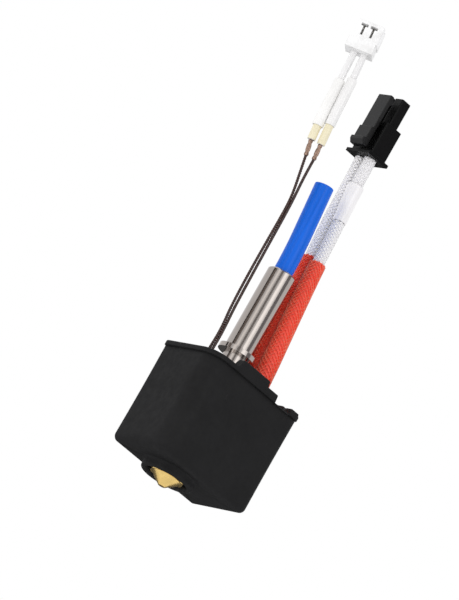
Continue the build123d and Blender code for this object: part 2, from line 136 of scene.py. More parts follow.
def finish(name, inputs, tones, fine, broad=None, gloss=None, depth=None, strength=0.4,
           factor=None, height=None):
    """A material: a broad pattern varies its tone, a fine one its roughness and relief.

    A pattern is its grains per metre, stretch and detail. gloss is the lowest and highest
    roughness, and depth is in metres. factor and height make another pattern for tone or relief."""
    material = bpy.data.materials.new(name)
    material.use_nodes = True
    tree = material.node_tree
    surface = tree.nodes["Principled BSDF"].inputs
    for key, value in inputs.items():
        surface[key].default_value = value
    place = add(tree, "ShaderNodeTexCoord", out="Object")
    grain = mottle(tree, place, *fine)
    middle = {"From Min": 0.3, "From Max": 0.7}
    if factor:
        share = factor(tree, grain)
    else:
        cloud = mottle(tree, place, *broad) if broad else grain
        share = add(tree, RANGE, {"Value": cloud, **middle})
    mixed = add(tree, "ShaderNodeMix", {0: share, 6: (*tones[0], 1), 7: (*tones[1], 1)},
                out=2, data_type="RGBA")
    tree.links.new(mixed, surface["Base Color"])
    if gloss:
        rough = add(tree, RANGE, {
            "Value": grain, "To Min": gloss[0], "To Max": gloss[1], **middle})
        tree.links.new(rough, surface["Roughness"])
    if depth:
        raised = height(tree, place, grain) if height else grain
        bump = add(tree, "ShaderNodeBump", {
            "Height": raised, "Distance": depth, "Strength": strength})
        tree.links.new(bump, surface["Normal"])
    return material


def mould_mark(tree, place, grain):
    """The sock's grain, with a shallow crescent that the mould left on the long wall."""
    centre, radius, width = (-0.0021, -0.00845, -0.0112), 0.0011, 0.00022
    fall = {"To Min": 1.0, "To Max": 0.0}
    offset = add(tree, VECTOR, place, centre, operation="SUBTRACT")
    x, y, z = add(tree, "ShaderNodeSeparateXYZ", offset).node.outputs
    flat = add(tree, "ShaderNodeCombineXYZ", {"X": x, "Z": z})
    reach = add(tree, VECTOR, flat, out="Value", operation="LENGTH")
    off_ring = add(tree, MATH, reach, radius, operation="SUBTRACT")
    off_ring = add(tree, MATH, off_ring, operation="ABSOLUTE")
    ridge = add(tree, RANGE, {"Value": off_ring, "From Max": width, **fall})
    lean = add(tree, MATH, x, z, operation="ADD")
    side = add(tree, RANGE, {
        "Value": lean, "From Min": -0.0011, "From Max": -0.0003, **fall})
    on_wall = add(tree, MATH, y, 0.0, 0.0006, operation="COMPARE")
    mark = add(tree, MATH, ridge, side, operation="MULTIPLY")
    mark = add(tree, MATH, mark, on_wall, operation="MULTIPLY")
    return add(tree, MATH, grain, 0.22, mark, operation="MULTIPLY_ADD")


def silicone_moulded(colour):
    """Moulded silicone rubber, matt black: a soft broad sheen over a faint grain."""
    # The mould's grain is 0.05 mm, drawn at about 1 mm.
    return finish("silicone_rubber_moulded", {
        "Roughness": 0.62, "IOR": 1.41, "Specular IOR Level": 0.22},
        shades(colour, 0.86, 1.16), (900, (1, 1, 1), 4), (160, (1, 1, 1), 2), (0.55, 0.70),
        0.00012, 0.8, height=mould_mark)


def steel_turned(colour):
    """Stainless steel turned on a lathe: bright, with fine rings round the axis."""
    # The feed is 0.1 mm a turn, drawn at 0.4 mm.
    return finish("stainless_steel_turned", {"Metallic": 1.0, "Roughness": 0.15},
                  shades(colour, 0.93, 1.04), (2600, LATHE_RINGS, 2), (420, (1.0, 1.0, 0.12)),
                  (0.13, 0.18), 0.000001, 0.2)


def brass_turned(colour):
    """Machined brass: bright yellow metal with uneven turning marks, a little stained."""
    # Turning marks are 0.1 mm apart, drawn at 0.4 mm.
    return finish("brass_turned", {"Metallic": 1.0, "Roughness": 0.26},
                  shades(colour, 0.86, 1.08), (2400, LATHE_RINGS, 2), (700,),
                  (0.20, 0.36), 0.00001, 0.5)


def aluminium_milled(colour):
    """Milled aluminium: even grey metal with straight fine cutter marks."""
    # Cutter marks are 0.2 mm apart, drawn at 0.7 mm.
    return finish("aluminium_milled", {"Metallic": 1.0, "Roughness": 0.34},
                  shades(colour, 0.90, 1.05), (1500, (0.05, 1.0, 1.0), 2), (220,),
                  (0.28, 0.44), 0.00001, 0.6)


def steel_ground(name, colour, roughness):
    """Plain ground, plated or oxidised metal for cartridges, grub screws, crimps and contacts."""
    return finish(name, {"Metallic": 1.0, "Roughness": roughness},
                  shades(colour, 0.82, 1.1), (1800, (1.0, 1.0, 0.25)), None,
                  (roughness * 0.8, roughness * 1.25), 0.00001)


def ceramic_fired(colour):
    """Fired alumina: chalky white with a fine tooth."""
    return finish("alumina_fired", {"Roughness": 0.8, "IOR": 1.6}, shades(colour, 0.88, 1.03),
                  (2500,), depth=0.00002, strength=0.6)


def ptfe_drawn(colour):
    """Extruded PTFE tube: waxy and satin, with faint streaks along its length."""
    return finish("ptfe_extruded", {"Roughness": 0.36, "IOR": 1.35, "Specular IOR Level": 0.35},
                  shades(colour, 0.90, 1.12), (1500, (1.0, 1.0, 0.035), 2), None,
                  (0.30, 0.44), 0.000012, 0.5)


def strand_tones(tree, grain):
    """Each strand's own tone, with the yarn's fibres over it."""
    tone = add(tree, "ShaderNodeAttribute", out="Fac", attribute_name="strand_tone")
    both = add(tree, MATH, grain, 0.6, tone, operation="MULTIPLY_ADD")
    return add(tree, RANGE, {"Value": both, "From Min": 0.1, "From Max": 1.5})


def braided_yarn(name, tones, roughness, coat=0.0):
    """Braided glass-fibre yarn: each strand has its own tone, and the fibres show as fine lines."""
    # The fibres are 9 microns thick, drawn at 0.2 mm.
    return finish(name, {"Roughness": roughness, "IOR": 1.5, "Coat Weight": coat}, tones,
                  (5000, (1, 1, 1), 2), depth=0.00002, strength=0.5, factor=strand_tones)


def soft_plastic(name, colour, roughness, through=0.0, per_metre=1200):
    """Extruded or shrunk soft plastic: satin, some of it a little clear, with faint unevenness."""
    return finish(name, {"Roughness": roughness, "IOR": 1.49, "Transmission Weight": through},
                  shades(colour, 0.94, 1.03), (per_metre, (1.0, 1.0, 0.3)), None,
                  (roughness * 0.85, roughness * 1.2), 0.00003)


def nylon_moulded(name, colour, roughness, level):
    """Injection-moulded nylon: satin with a fine spark-eroded grain and worn, lighter spots."""
    # The grain is 0.03 mm, drawn at 0.3 mm.
    return finish(name, {"Roughness": roughness, "IOR": 1.53, "Specular IOR Level": level},
                  shades(colour, 0.85, 1.15), (3200,), (350,),
                  (roughness * 0.85, roughness * 1.2), 0.00002)


# ---- meshes ----

def link_object(name, data):
    """An object in the scene, at the origin."""
    piece = bpy.data.objects.new(name, data)
    bpy.context.scene.collection.objects.link(piece)
    return piece


def ringed_piece(name, rings, material, closed=False, smooth_angle=40):
    """A piece whose skin joins equal rings of points, in metres.

    It has a cap at each end or, if closed, joins its last ring to its first like a tube's wall."""
    shape = bmesh.new()
    corners = [[shape.verts.new(point) for point in ring] for ring in rings]
    for one, two in zip(corners, corners[1:] + corners[:1] if closed else corners[1:]):
        for i in range(len(one)):
            shape.faces.new((one[i - 1], one[i], two[i], two[i - 1]))
    if not closed:
        shape.faces.new(corners[0])
        shape.faces.new(corners[-1])
    bmesh.ops.remove_doubles(shape, verts=shape.verts, dist=1e-7)
    bmesh.ops.recalc_face_normals(shape, faces=shape.faces)
    mesh = bpy.data.meshes.new(name)
    shape.to_mesh(mesh)
    shape.free()
    mesh.materials.append(material)
    mesh.shade_smooth()
    mesh.set_sharp_from_angle(angle=math.radians(smooth_angle))
    return link_object(name, mesh)


def settle(piece):
    """Turns a piece with modifiers into a plain mesh."""
    bpy.context.view_layer.update()
    graph = bpy.context.evaluated_depsgraph_get()
    mesh = bpy.data.meshes.new_from_object(piece.evaluated_get(graph), depsgraph=graph)
    piece.modifiers.clear()
    piece.data = mesh
    mesh.name = piece.name
    return piece


def lead_line(name, route):
    """Points along a lead's smooth line, a NURBS spline with the route as its control points."""
    curve = bpy.data.curves.new(name, "CURVE")
    curve.dimensions = "3D"
    curve.resolution_u = 20
    spline = curve.splines.new("NURBS")
    spline.points.add(len(route) - 1)
    for point, place in zip(spline.points, route):
        point.co = (*place, 1.0)
    spline.order_u = 3
    spline.use_endpoint_u = True
    line = link_object(name, curve)
    bpy.context.view_layer.update()
    mesh = bpy.data.meshes.new_from_object(line)
    points = [vertex.co.copy() for vertex in mesh.vertices]
    bpy.data.objects.remove(line)
    bpy.data.curves.remove(curve)
    bpy.data.meshes.remove(mesh)
    return points


def stretch_between(points, low, high):
    """The part of an upward line between two heights, cut level at both."""
    def cut(height):
        for one, two in zip(points, points[1:]):
            if one.z <= height <= two.z:
                return one.lerp(two, (height - one.z) / (two.z - one.z))
        return points[0].copy() if height < points[0].z else points[-1].copy()
    return [cut(low)] + [p for p in points if low < p.z < high] + [cut(high)]


class Along:
    """Places and cross-section directions by distance along a line that runs upwards."""

    def __init__(self, points):
        self.points = points
        self.marks = [0.0]
        for one, two in zip(points, points[1:]):
            self.marks.append(self.marks[-1] + (two - one).length)
        self.length = self.marks[-1]

    def at(self, distance):
        """Position, and two directions square to the line."""
        i = 1
        while i < len(self.marks) - 1 and self.marks[i] < distance:
            i += 1
        one, two = self.points[i - 1], self.points[i]
        run = (two - one).normalized()
        place = one + run * (distance - self.marks[i - 1])
        across = (Vector((1, 0, 0)) - run * run.x).normalized()
        return place, across, run.cross(across)


def turned_along(name, points, profile, material, sides, section=None, closed=False):
    """A piece of revolution bent along a line, from a profile of distance along and radius.

    section changes the radius by angle and distance. A closed profile makes a tube wall."""
    line = Along(points)
    rings = []
    for distance, radius in profile:
        centre, across, over = line.at(distance)
        ring = []
        for i in range(sides):
            angle = math.tau * i / sides
            reach = radius * (section(angle, distance) if section else 1.0)
            ring.append(centre + (across * math.cos(angle) + over * math.sin(angle)) * reach)
        rings.append(ring)
    return ringed_piece(name, rings, material, closed)


def rod_profile(length, radius, edge, steps, swell=lambda share: 1.0):
    """Distance and radius up a rod with rounded ends, which swells by its share of the length."""
    base, top = radius * swell(0), radius * swell(1)
    rows = [(edge * along, base - edge * back) for along, back in ROUNDED]
    rows += [(length * i / steps, radius * swell(i / steps)) for i in range(1, steps)]
    return rows + [(length - edge * along, top - edge * back) for along, back in reversed(ROUNDED)]


def tube_profile(length, outer, inner, edge, steps, swell=lambda share: 1.0):
    """A closed tube wall with rounded rims, outside up and inside down."""
    down = [[length * i / steps, inner * swell(i / steps)] for i in range(steps, -1, -1)]
    for rim in (down[0], down[-1]):
        rim[1] += edge * 0.3
    return rod_profile(length, outer, edge, steps, swell) + down


def softened(node, name, width, material):
    """A copy of a CAD node with its doubles merged and its edges rounded."""
    shape = bmesh.new()
    shape.from_mesh(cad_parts[node].data)
    bmesh.ops.remove_doubles(shape, verts=shape.verts, dist=1e-6)
    bmesh.ops.dissolve_limit(shape, angle_limit=math.radians(1), verts=shape.verts,
                             edges=shape.edges)
    mesh = bpy.data.meshes.new(name)
    shape.verts.index_update()
    mesh.from_pydata([v.co.copy() for v in shape.verts], [],
                     [[v.index for v in face.verts] for face in shape.faces])
    shape.free()
    mesh.materials.append(material)
    mesh.shade_smooth()
    piece = link_object(name, mesh)
    bevel = piece.modifiers.new("Edges", "BEVEL")
    bevel.width = width
    bevel.segments = 3
    bevel.limit_method = "ANGLE"
    bevel.angle_limit = math.radians(35)
    bevel.miter_outer = "MITER_ARC"
    piece.modifiers.new("Normals", "WEIGHTED_NORMAL").keep_sharp = True
    return settle(piece)


def dress(node, material):
    """Gives a CAD node its finish."""
    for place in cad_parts[node].material_slots:
        place.material = material


def hand_over(piece, body, node):
    """Hangs a finished piece on the empty of the body that it rides on, and hides its CAD node."""
    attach(piece, body)
    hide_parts(node)


# ---- braid, as geometry nodes ----

def braid_tree():
    """Strands wound both ways round a path, each over one and under the next, on a round core."""
    tree = bpy.data.node_groups.new("Braided cover", "GeometryNodeTree")
    for kind, names in (
            ("Geometry", ("Path",)),
            ("Float", ("Start Radius", "End Radius", "Turns", "Strand Width", "Strand Thickness",
                       "Wave")),
            ("Int", ("Strands", "Steps", "Seed")),
            ("Material", ("Material",))):
        for name in names:
            tree.interface.new_socket(name, in_out="INPUT", socket_type=f"NodeSocket{kind}")
    tree.interface.new_socket("Geometry", in_out="OUTPUT", socket_type="NodeSocketGeometry")
    given = add(tree, "NodeGroupInput").node.outputs
    path = add(tree, "GeometryNodeMeshToCurve", given["Path"])

    # One straight strand, repeated for both directions.
    line = add(tree, "GeometryNodeResampleCurve", {
        "Curve": add(tree, "GeometryNodeCurvePrimitiveLine"), "Count": given["Steps"]})
    both = add(tree, MATH, given["Strands"], 2.0, operation="MULTIPLY")
    copies, index = add(tree, "GeometryNodeDuplicateElements", {"Geometry": line, "Amount": both},
                        domain="SPLINE").node.outputs
    odd = add(tree, MATH, index, 2.0, operation="MODULO")
    way = add(tree, MATH, odd, -2.0, 1.0, operation="MULTIPLY_ADD")
    pair = add(tree, MATH, index, 2.0, operation="SNAP")
    start = add(tree, MATH, pair, given["Strands"], operation="DIVIDE")
    start = add(tree, MATH, start, math.pi, operation="MULTIPLY")
    share = add(tree, "GeometryNodeSplineParameter", out="Factor")
    swept = add(tree, MATH, share, given["Turns"], operation="MULTIPLY")
    swept = add(tree, MATH, swept, math.tau, operation="MULTIPLY")
    angle = add(tree, MATH, way, swept, start, operation="MULTIPLY_ADD")
    crossing = add(tree, MATH, swept, given["Strands"], operation="MULTIPLY")
    crossing = add(tree, MATH, crossing, operation="COSINE")
    rise = add(tree, MATH, crossing, way, operation="MULTIPLY")
    rise = add(tree, MATH, rise, given["Wave"], operation="MULTIPLY")
    around = add(tree, "ShaderNodeMix", {
        0: share, 2: given["Start Radius"], 3: given["End Radius"]})
    reach = add(tree, MATH, around, rise, operation="ADD")

    # Its place round the path.
    here = add(tree, "GeometryNodeSampleCurve", {"Curves": path, "Factor": share},
               mode="FACTOR").node.outputs
    outward = add(tree, "ShaderNodeVectorRotate", {
        "Vector": here["Normal"], "Axis": here["Tangent"], "Angle": angle})
    spot = add(tree, VECTOR, {0: outward, "Scale": reach}, operation="SCALE")
    spot = add(tree, VECTOR, here["Position"], spot, operation="ADD")
    strands = add(tree, "GeometryNodeSetPosition", {"Geometry": copies, "Position": spot})
    strands = add(tree, "GeometryNodeSetCurveNormal", {"Curve": strands, "Normal": outward},
                  mode="FREE")
    tone = add(tree, "FunctionNodeRandomValue", {"ID": index, "Seed": given["Seed"]},
               out=1, data_type="FLOAT")
    strands = add(tree, "GeometryNodeStoreNamedAttribute",
                  {"Geometry": strands, "Name": "strand_tone", "Value": tone},
                  data_type="FLOAT", domain="POINT")
    ring = add(tree, "GeometryNodeCurvePrimitiveCircle", {"Resolution": 6, "Radius": 0.5})
    size = add(tree, "ShaderNodeCombineXYZ", given["Strand Width"], given["Strand Thickness"], 1.0)
    ring = add(tree, "GeometryNodeTransform", {"Geometry": ring, "Scale": size})
    yarn = add(tree, "GeometryNodeCurveToMesh",
               {"Curve": strands, "Profile Curve": ring, "Fill Caps": True})

    # The round core that shows between the strands, its tone nought.
    core = add(tree, "GeometryNodeSetPosition", {"Geometry": line, "Position": here["Position"]})
    inside = add(tree, MATH, given["Wave"], 0.4, around, operation="MULTIPLY_ADD")
    disc = add(tree, "GeometryNodeCurvePrimitiveCircle", {"Resolution": 20, "Radius": 1.0})
    solid = add(tree, "GeometryNodeCurveToMesh",
                {"Curve": core, "Profile Curve": disc, "Scale": inside, "Fill Caps": True})

    joined = add(tree, "GeometryNodeJoinGeometry", yarn)
    tree.links.new(solid, joined.node.inputs["Geometry"])
    plain = add(tree, "GeometryNodeRealizeInstances", joined)
    plain = add(tree, "GeometryNodeSetShadeSmooth", plain)
    plain = add(tree, "GeometryNodeSetMaterial",
                {"Geometry": plain, "Material": given["Material"]})
    add(tree, "NodeGroupOutput", plain)
    return tree


def braided(name, points, values, material):
    """A braided cover along a line of points."""
    tree = bpy.data.node_groups.get("Braided cover") or braid_tree()
    mesh = bpy.data.meshes.new(name)
    mesh.from_pydata(points, [(i, i + 1) for i in range(len(points) - 1)], [])
    piece = link_object(name, mesh)
    modifier = piece.modifiers.new("Braid", "NODES")
    modifier.node_group = tree
    sockets = {item.name: item.identifier for item in tree.interface.items_tree
               if item.in_out == "INPUT"}
    for key, value in {**values, "Material": material}.items():
        modifier[sockets[key]] = value
    return settle(piece)


# ---- settings that a user would change ----

def length(name, text, default):
    """A length setting in metres."""
    return FloatProperty(name=name, description=text, default=default, min=0.0, precision=5,
                         unit="LENGTH")


def colour(name, text, code):
    """A colour setting."""
    return FloatVectorProperty(name=name, description=text, default=linear(code), size=3,
                               min=0.0, max=1.0, subtype="COLOR")


class HotEndStage(PropertyGroup):
    """Camera and studio."""
    azimuth: FloatProperty(name="Azimuth", description="Side that the camera stands on",
                           default=math.radians(-35.707), subtype="ANGLE")
    elevation: FloatProperty(name="Elevation", description="Height angle of the camera",
                             default=math.radians(-15.272), subtype="ANGLE")
    roll: FloatProperty(name="Roll", description="How far the camera is turned about its view",
                        default=math.radians(29.712), subtype="ANGLE")
    distance: length("Distance", "From the flange to the camera", 1.428)
    lens: FloatProperty(name="Lens", description="Focal length in millimetres", default=564.6)
    aim_right: length("Aim right", "Origin's place right of the view's middle", 0.001665)
    aim_down: length("Aim down", "Origin's place below the view's middle", 0.010219)
    floor_drop: length("Floor drop", "Depth of the floor below the flange", 0.45)


class HotEndSock(PropertyGroup):
    """The silicone sock."""
    wall: length("Wall", "Thickness of the walls", 0.0019)
    corner: length("Corner", "Radius of the upright edges outside", 0.0012)
    near_corner: length("Broad corner", "Radius of the upright edge at -X and -Y", 0.0040)
    floor_edge: length("Floor edge", "Radius between walls and floor", 0.0013)
    soft_edge: length("Soft edge", "Extra radius of the floor edge below the broad corner", 0.0012)
    floor: length("Floor", "Thickness of the floor", 0.0021)
    band: length("Band", "Height of the thicker band at the rim", 0.001)
    proud: length("Proud", "How far the band stands out", 0.0003)
    tone: colour("Silicone", "Colour of the rubber", "#171718")


class HotEndLeads(PropertyGroup):
    """The heater leads."""
    wire_diameter: length("Wire", "Diameter of a braided heater wire", 0.0020)
    wire_strands: IntProperty(name="Strands", description="Strands each way round a wire",
                              default=8, min=3)
    sleeve_base: length("Sleeve base", "Diameter of a red sleeve at the block", 0.0034)
    sleeve_top: length("Sleeve top", "Diameter of a red sleeve at its upper end", 0.00276)
    shrink_base: length("Shrink base", "Diameter of the heat shrink at its lower end", 0.0029)
    shrink_top: length("Shrink top", "Diameter of the heat shrink at its upper end", 0.0035)
    red: colour("Sleeve", "Colour of the red sleeves", "#FF5238")
    # The glint colour is a painted highlight. The lightest strands and fibres of the red sleeves
    # take it in place of glints of light.
    painted_glint: colour("Sleeve glints", "Colour of the lightest sleeve strands", "#FF9478")
    white: colour("Wire colour", "Colour of the glass braid", "#FDFCFD")


class HotEndSensor(PropertyGroup):
    """The thermistor leads."""
    wire_diameter: length("Sensor wire", "Diameter of a thermistor wire", 0.00042)
    crimp_diameter: length("Crimp", "Diameter of a splice", 0.00095)
    insulator_diameter: length("Insulator", "Diameter of the cream tubes over the splices", 0.0017)
    lead_diameter: length("Lead", "Diameter of a plug lead", 0.0014)
    brown: colour("Wire colour", "Colour of the varnished braid", "#3A1C14")
    cream: colour("Cream", "Colour of the tubes over the splices", "#EFE6C6")


class HotEndFinishes(PropertyGroup):
    """Colours of the other parts."""
    steel: colour("Steel", "Heat break", "#AEA7A2")
    brass: colour("Brass", "Nozzle", "#F2D184")
    liner: colour("Liner", "PTFE tube", "#0062D7")
    black_nylon: colour("Black nylon", "Power plug", "#0B0B0C")
    natural_nylon: colour("Natural nylon", "Thermistor plug", "#F6F5F4")


# ---- stage ----

def camera_axes(stage):
    """Right, up and backward directions of the camera."""
    turn, lift, roll = stage.azimuth, stage.elevation, stage.roll
    right = Vector((math.cos(turn), math.sin(turn), 0))
    back = Vector((math.sin(turn), -math.cos(turn), 0)) * math.cos(lift)
    back.z = math.sin(lift)
    up = back.cross(right)
    return (right * math.cos(roll) + up * math.sin(roll),
            up * math.cos(roll) - right * math.sin(roll), back)


def facing(obj, place, right, up, back):
    """Puts a light, card or camera at a place with its own axes."""
    for column, axis in enumerate((right, up, back, place)):
        for row in range(3):
            obj.matrix_world[row][column] = axis[row]


def plane(name, width, height):
    """A flat stage piece."""
    mesh = bpy.data.meshes.new(name)
    x, y = width / 2, height / 2
    mesh.from_pydata([(-x, -y, 0), (x, -y, 0), (x, y, 0), (-x, y, 0)], [], [(0, 1, 2, 3)])
    obj = link_object(name, mesh)
    return obj


def glowing(name, value, strength):
    """A material that gives its own even light, for a backdrop or a card."""
    material = bpy.data.materials.new(name)
    material.use_nodes = True
    tree = material.node_tree
    tree.nodes.clear()
    light = add(tree, "ShaderNodeEmission", {"Color": (*linear(value), 1), "Strength": strength})
    add(tree, "ShaderNodeOutputMaterial", light)
    return material


def glossy_card(name, width, height, tone, strength, spot, right, up, back):
    """A card that only glossy surfaces see, as a band of light or shade."""
    card = plane(name, width, height)
    card.data.materials.append(glowing(name, tone, strength))
    facing(card, spot, right, up, back)
    for sight in ("visible_camera", "visible_diffuse", "visible_shadow", "visible_transmission"):
        setattr(card, sight, False)


class HOTEND_OT_stage(Operator):
    """Camera, soft studio light, pale floor and backdrop"""
    bl_idname = "hotend.stage"
    bl_label = "Stage"

    def execute(self, context):
        scene = context.scene
        stage = scene.hot_end_stage
        right, up, back = camera_axes(stage)
        data = bpy.data.cameras.new("camera")
        data.sensor_fit = "HORIZONTAL"
        data.sensor_width = 36.0
        data.lens = stage.lens
        data.clip_end = 20.0
        camera = link_object("camera", data)
        spot = back * stage.distance - right * stage.aim_right + up * stage.aim_down
        facing(camera, spot, right, up, back)
        scene.camera = camera
        scene.view_settings.view_transform = "Standard"

        world = bpy.data.worlds.new("studio")
        world.use_nodes = True
        ground = world.node_tree.nodes["Background"]
        ground.inputs["Color"].default_value = (*linear("#FBFBFC"), 1)
        ground.inputs["Strength"].default_value = 0.98
        scene.world = world

        # Each light: name, size, power in watts, place along right, up and back.
        for name, size, power, place in (
                ("key", 0.50, 2.4, (-0.85, 0.55, 0.75)),
                ("fill", 0.70, 1.0, (0.95, -0.10, 0.80)),
                ("rim", 0.35, 0.8, (0.45, 0.85, -0.60))):
            lamp = bpy.data.lights.new(name, "AREA")
            lamp.size = size
            lamp.energy = power
            light = link_object(name, lamp)
            spot = right * place[0] + up * place[1] + back * place[2]
            towards = spot.normalized()
            side = up.cross(towards).normalized()
            facing(light, spot, side, towards.cross(side), towards)
            light.visible_camera = False

        # Upright cards round the object: name, angle from the camera's side, width as an angle,
        # tone and strength. Polished metal shows them as bands along its length.
        upright = Vector((0, 0, 1))
        level = Vector((back.x, back.y, 0)).normalized()
        beside = Vector((math.cos(stage.azimuth), math.sin(stage.azimuth), 0))
        reach = 0.6
        for name, angle, spread, tone, strength in (
                ("card_left", -60, 20, "#847A74", 1.0),
                ("lamp_left", -29, 15, "#FFFDFB", 1.45),
                ("card_front", -3, 17, "#8E8A88", 1.0),
                ("lamp_right", 29, 20, "#FFFFFF", 2.1),
                ("card_right", 67, 30, "#8A878A", 1.0)):
            way = level * math.cos(math.radians(angle)) + beside * math.sin(math.radians(angle))
            width = 2 * reach * math.tan(math.radians(spread / 2))
            spot = way * reach + upright * reach * math.tan(-stage.elevation)
            glossy_card(name, width, 0.9, tone, strength, spot, upright.cross(-way), upright, -way)

        # A dark card below and behind keeps the pale floor out of the faces that look down.
        away = Vector((-level.x, -level.y, -0.38)).normalized()
        glossy_card("card_low", 1.3, 0.5, "#585858", 1.0, away * reach,
                    beside, -away.cross(beside), -away)

        backdrop = plane("backdrop", 0.9, 0.9)
        facing(backdrop, back * -1.6, right, up, back)
        backdrop.data.materials.append(glowing("paper_white", "#FFFFFF", 1.0))
        for sight in ("visible_diffuse", "visible_glossy", "visible_shadow"):
            setattr(backdrop, sight, False)

        floor = plane("floor", 8.0, 8.0)
        floor.location.z = -stage.floor_drop
        floor.data.materials.append(finish(
            "floor_painted", {"Roughness": 0.6}, (linear("#ECECEC"), linear("#F4F4F4")), (3,)))
        return {"FINISHED"}


# ---- cords ----

LINES = {}


def braid_values(start, end, length_m, strands, seed, flat=0.14, slant=1.0, cover=0.66):
    """Sizes of a braid from its diameters at both ends.

    flat is a strand's thickness for the radius, slant its steepness (1 at 45 degrees), and cover
    its width for its share of the way round."""
    radius = (start + end) / 4
    turns = length_m / (math.tau * radius * slant)
    return {
        "Start Radius": start / 2 - start * flat / 4, "End Radius": end / 2 - end * flat / 4,
        "Turns": turns, "Strands": strands, "Steps": int(6 * turns * strands) + 2,
        "Strand Width": math.tau * radius / strands * cover, "Strand Thickness": radius * flat,
        "Wave": radius * flat * 0.25, "Seed": seed,
    }


def braided_wires(routes, title, diameter, yarn, slot, first_seed, strands, **lay):
    """Two braided wires along their routes, whose lines are kept for the pieces on them."""
    for seed, (side, route) in enumerate(routes.items(), first_seed):
        name = f"{title}_{side}"
        LINES[name] = lead_line(name, route)
        values = braid_values(diameter, diameter, Along(LINES[name]).length, strands, seed, **lay)
        hand_over(braided(f"braided_{name}", LINES[name], values, yarn), "hotend", name)


class HOTEND_OT_wires(Operator):
    """Two glass-braided heater wires and two thin varnished thermistor wires"""
    bl_idname = "hotend.wires"
    bl_label = "Wires"

    def execute(self, context):
        leads, sensor = context.scene.hot_end_leads, context.scene.hot_end_sensor
        white = braided_yarn("glass_braid_white", shades(leads.white, 0.98, 1.0), 0.7)
        braided_wires(HEATER_ROUTES, "heater_wire", leads.wire_diameter, white,
                      "white_glass_braid", 0, leads.wire_strands, flat=0.05, cover=0.858)
        brown = braided_yarn("glass_braid_brown", shades(sensor.brown, 0.35, 2.6), 0.22, 0.5)
        braided_wires(SENSOR_ROUTES, "thermistor_wire", sensor.wire_diameter, brown,
                      "brown_glass_braid", 5, 4, slant=1.6)
        return {"FINISHED"}


# ---- sleeves and tubes on the leads ----

class HOTEND_OT_sleeves(Operator):
    """Red braided sleeves over the heater wires, and white heat shrink over one of them"""
    bl_idname = "hotend.sleeves"
    bl_label = "Sleeves"

    def execute(self, context):
        leads = context.scene.hot_end_leads
        # The lightest strands and fibres take the glint colour, which is a painted highlight.
        yarn = braided_yarn("glass_sleeve_red", (leads.red, leads.painted_glint), 0.45)
        for seed, side in enumerate(HEATER_ROUTES, 11):
            low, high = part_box(f"red_sleeve_{side}")
            points = stretch_between(LINES[f"heater_wire_{side}"], low.z, high.z)
            values = braid_values(leads.sleeve_base, leads.sleeve_top, Along(points).length, 11,
                                  seed, flat=0.035, cover=0.924)
            hand_over(braided(f"braided_sleeve_{side}", points, values, yarn),
                      "hotend", f"red_sleeve_{side}")

        low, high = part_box("heat_shrink")
        points = stretch_between(LINES["heater_wire_a"], low.z, high.z)
        widening = leads.shrink_top / leads.shrink_base - 1
        outer = leads.shrink_base / 2

        def swell(share):
            return 1 + widening * share ** 1.4 + 0.018 * math.sin(share * 17)

        def squeezed(angle, distance):
            return 1 + 0.02 * math.cos(2 * angle + distance * 400)

        profile = tube_profile(Along(points).length, outer, outer - 0.00025, 0.0001, 22, swell)
        film = soft_plastic("polyolefin_shrunk", linear("#F6F4F5"), 0.36, per_metre=600)
        hand_over(turned_along("shrunk_tube", points, profile, film, 40, squeezed, closed=True),
                  "hotend", "heat_shrink")
        return {"FINISHED"}


# A splice crimp's outline: share of its length, and its radius there for the widest.
CRIMP = ((0.0, 0.62), (0.02, 0.86), (0.06, 1.0), (0.14, 1.0), (0.20, 0.82), (0.28, 0.80),
         (0.34, 0.98), (0.50, 1.0), (0.66, 0.98), (0.72, 0.82), (0.80, 0.82), (0.86, 1.0),
         (0.96, 1.0), (0.99, 0.84), (1.0, 0.62))


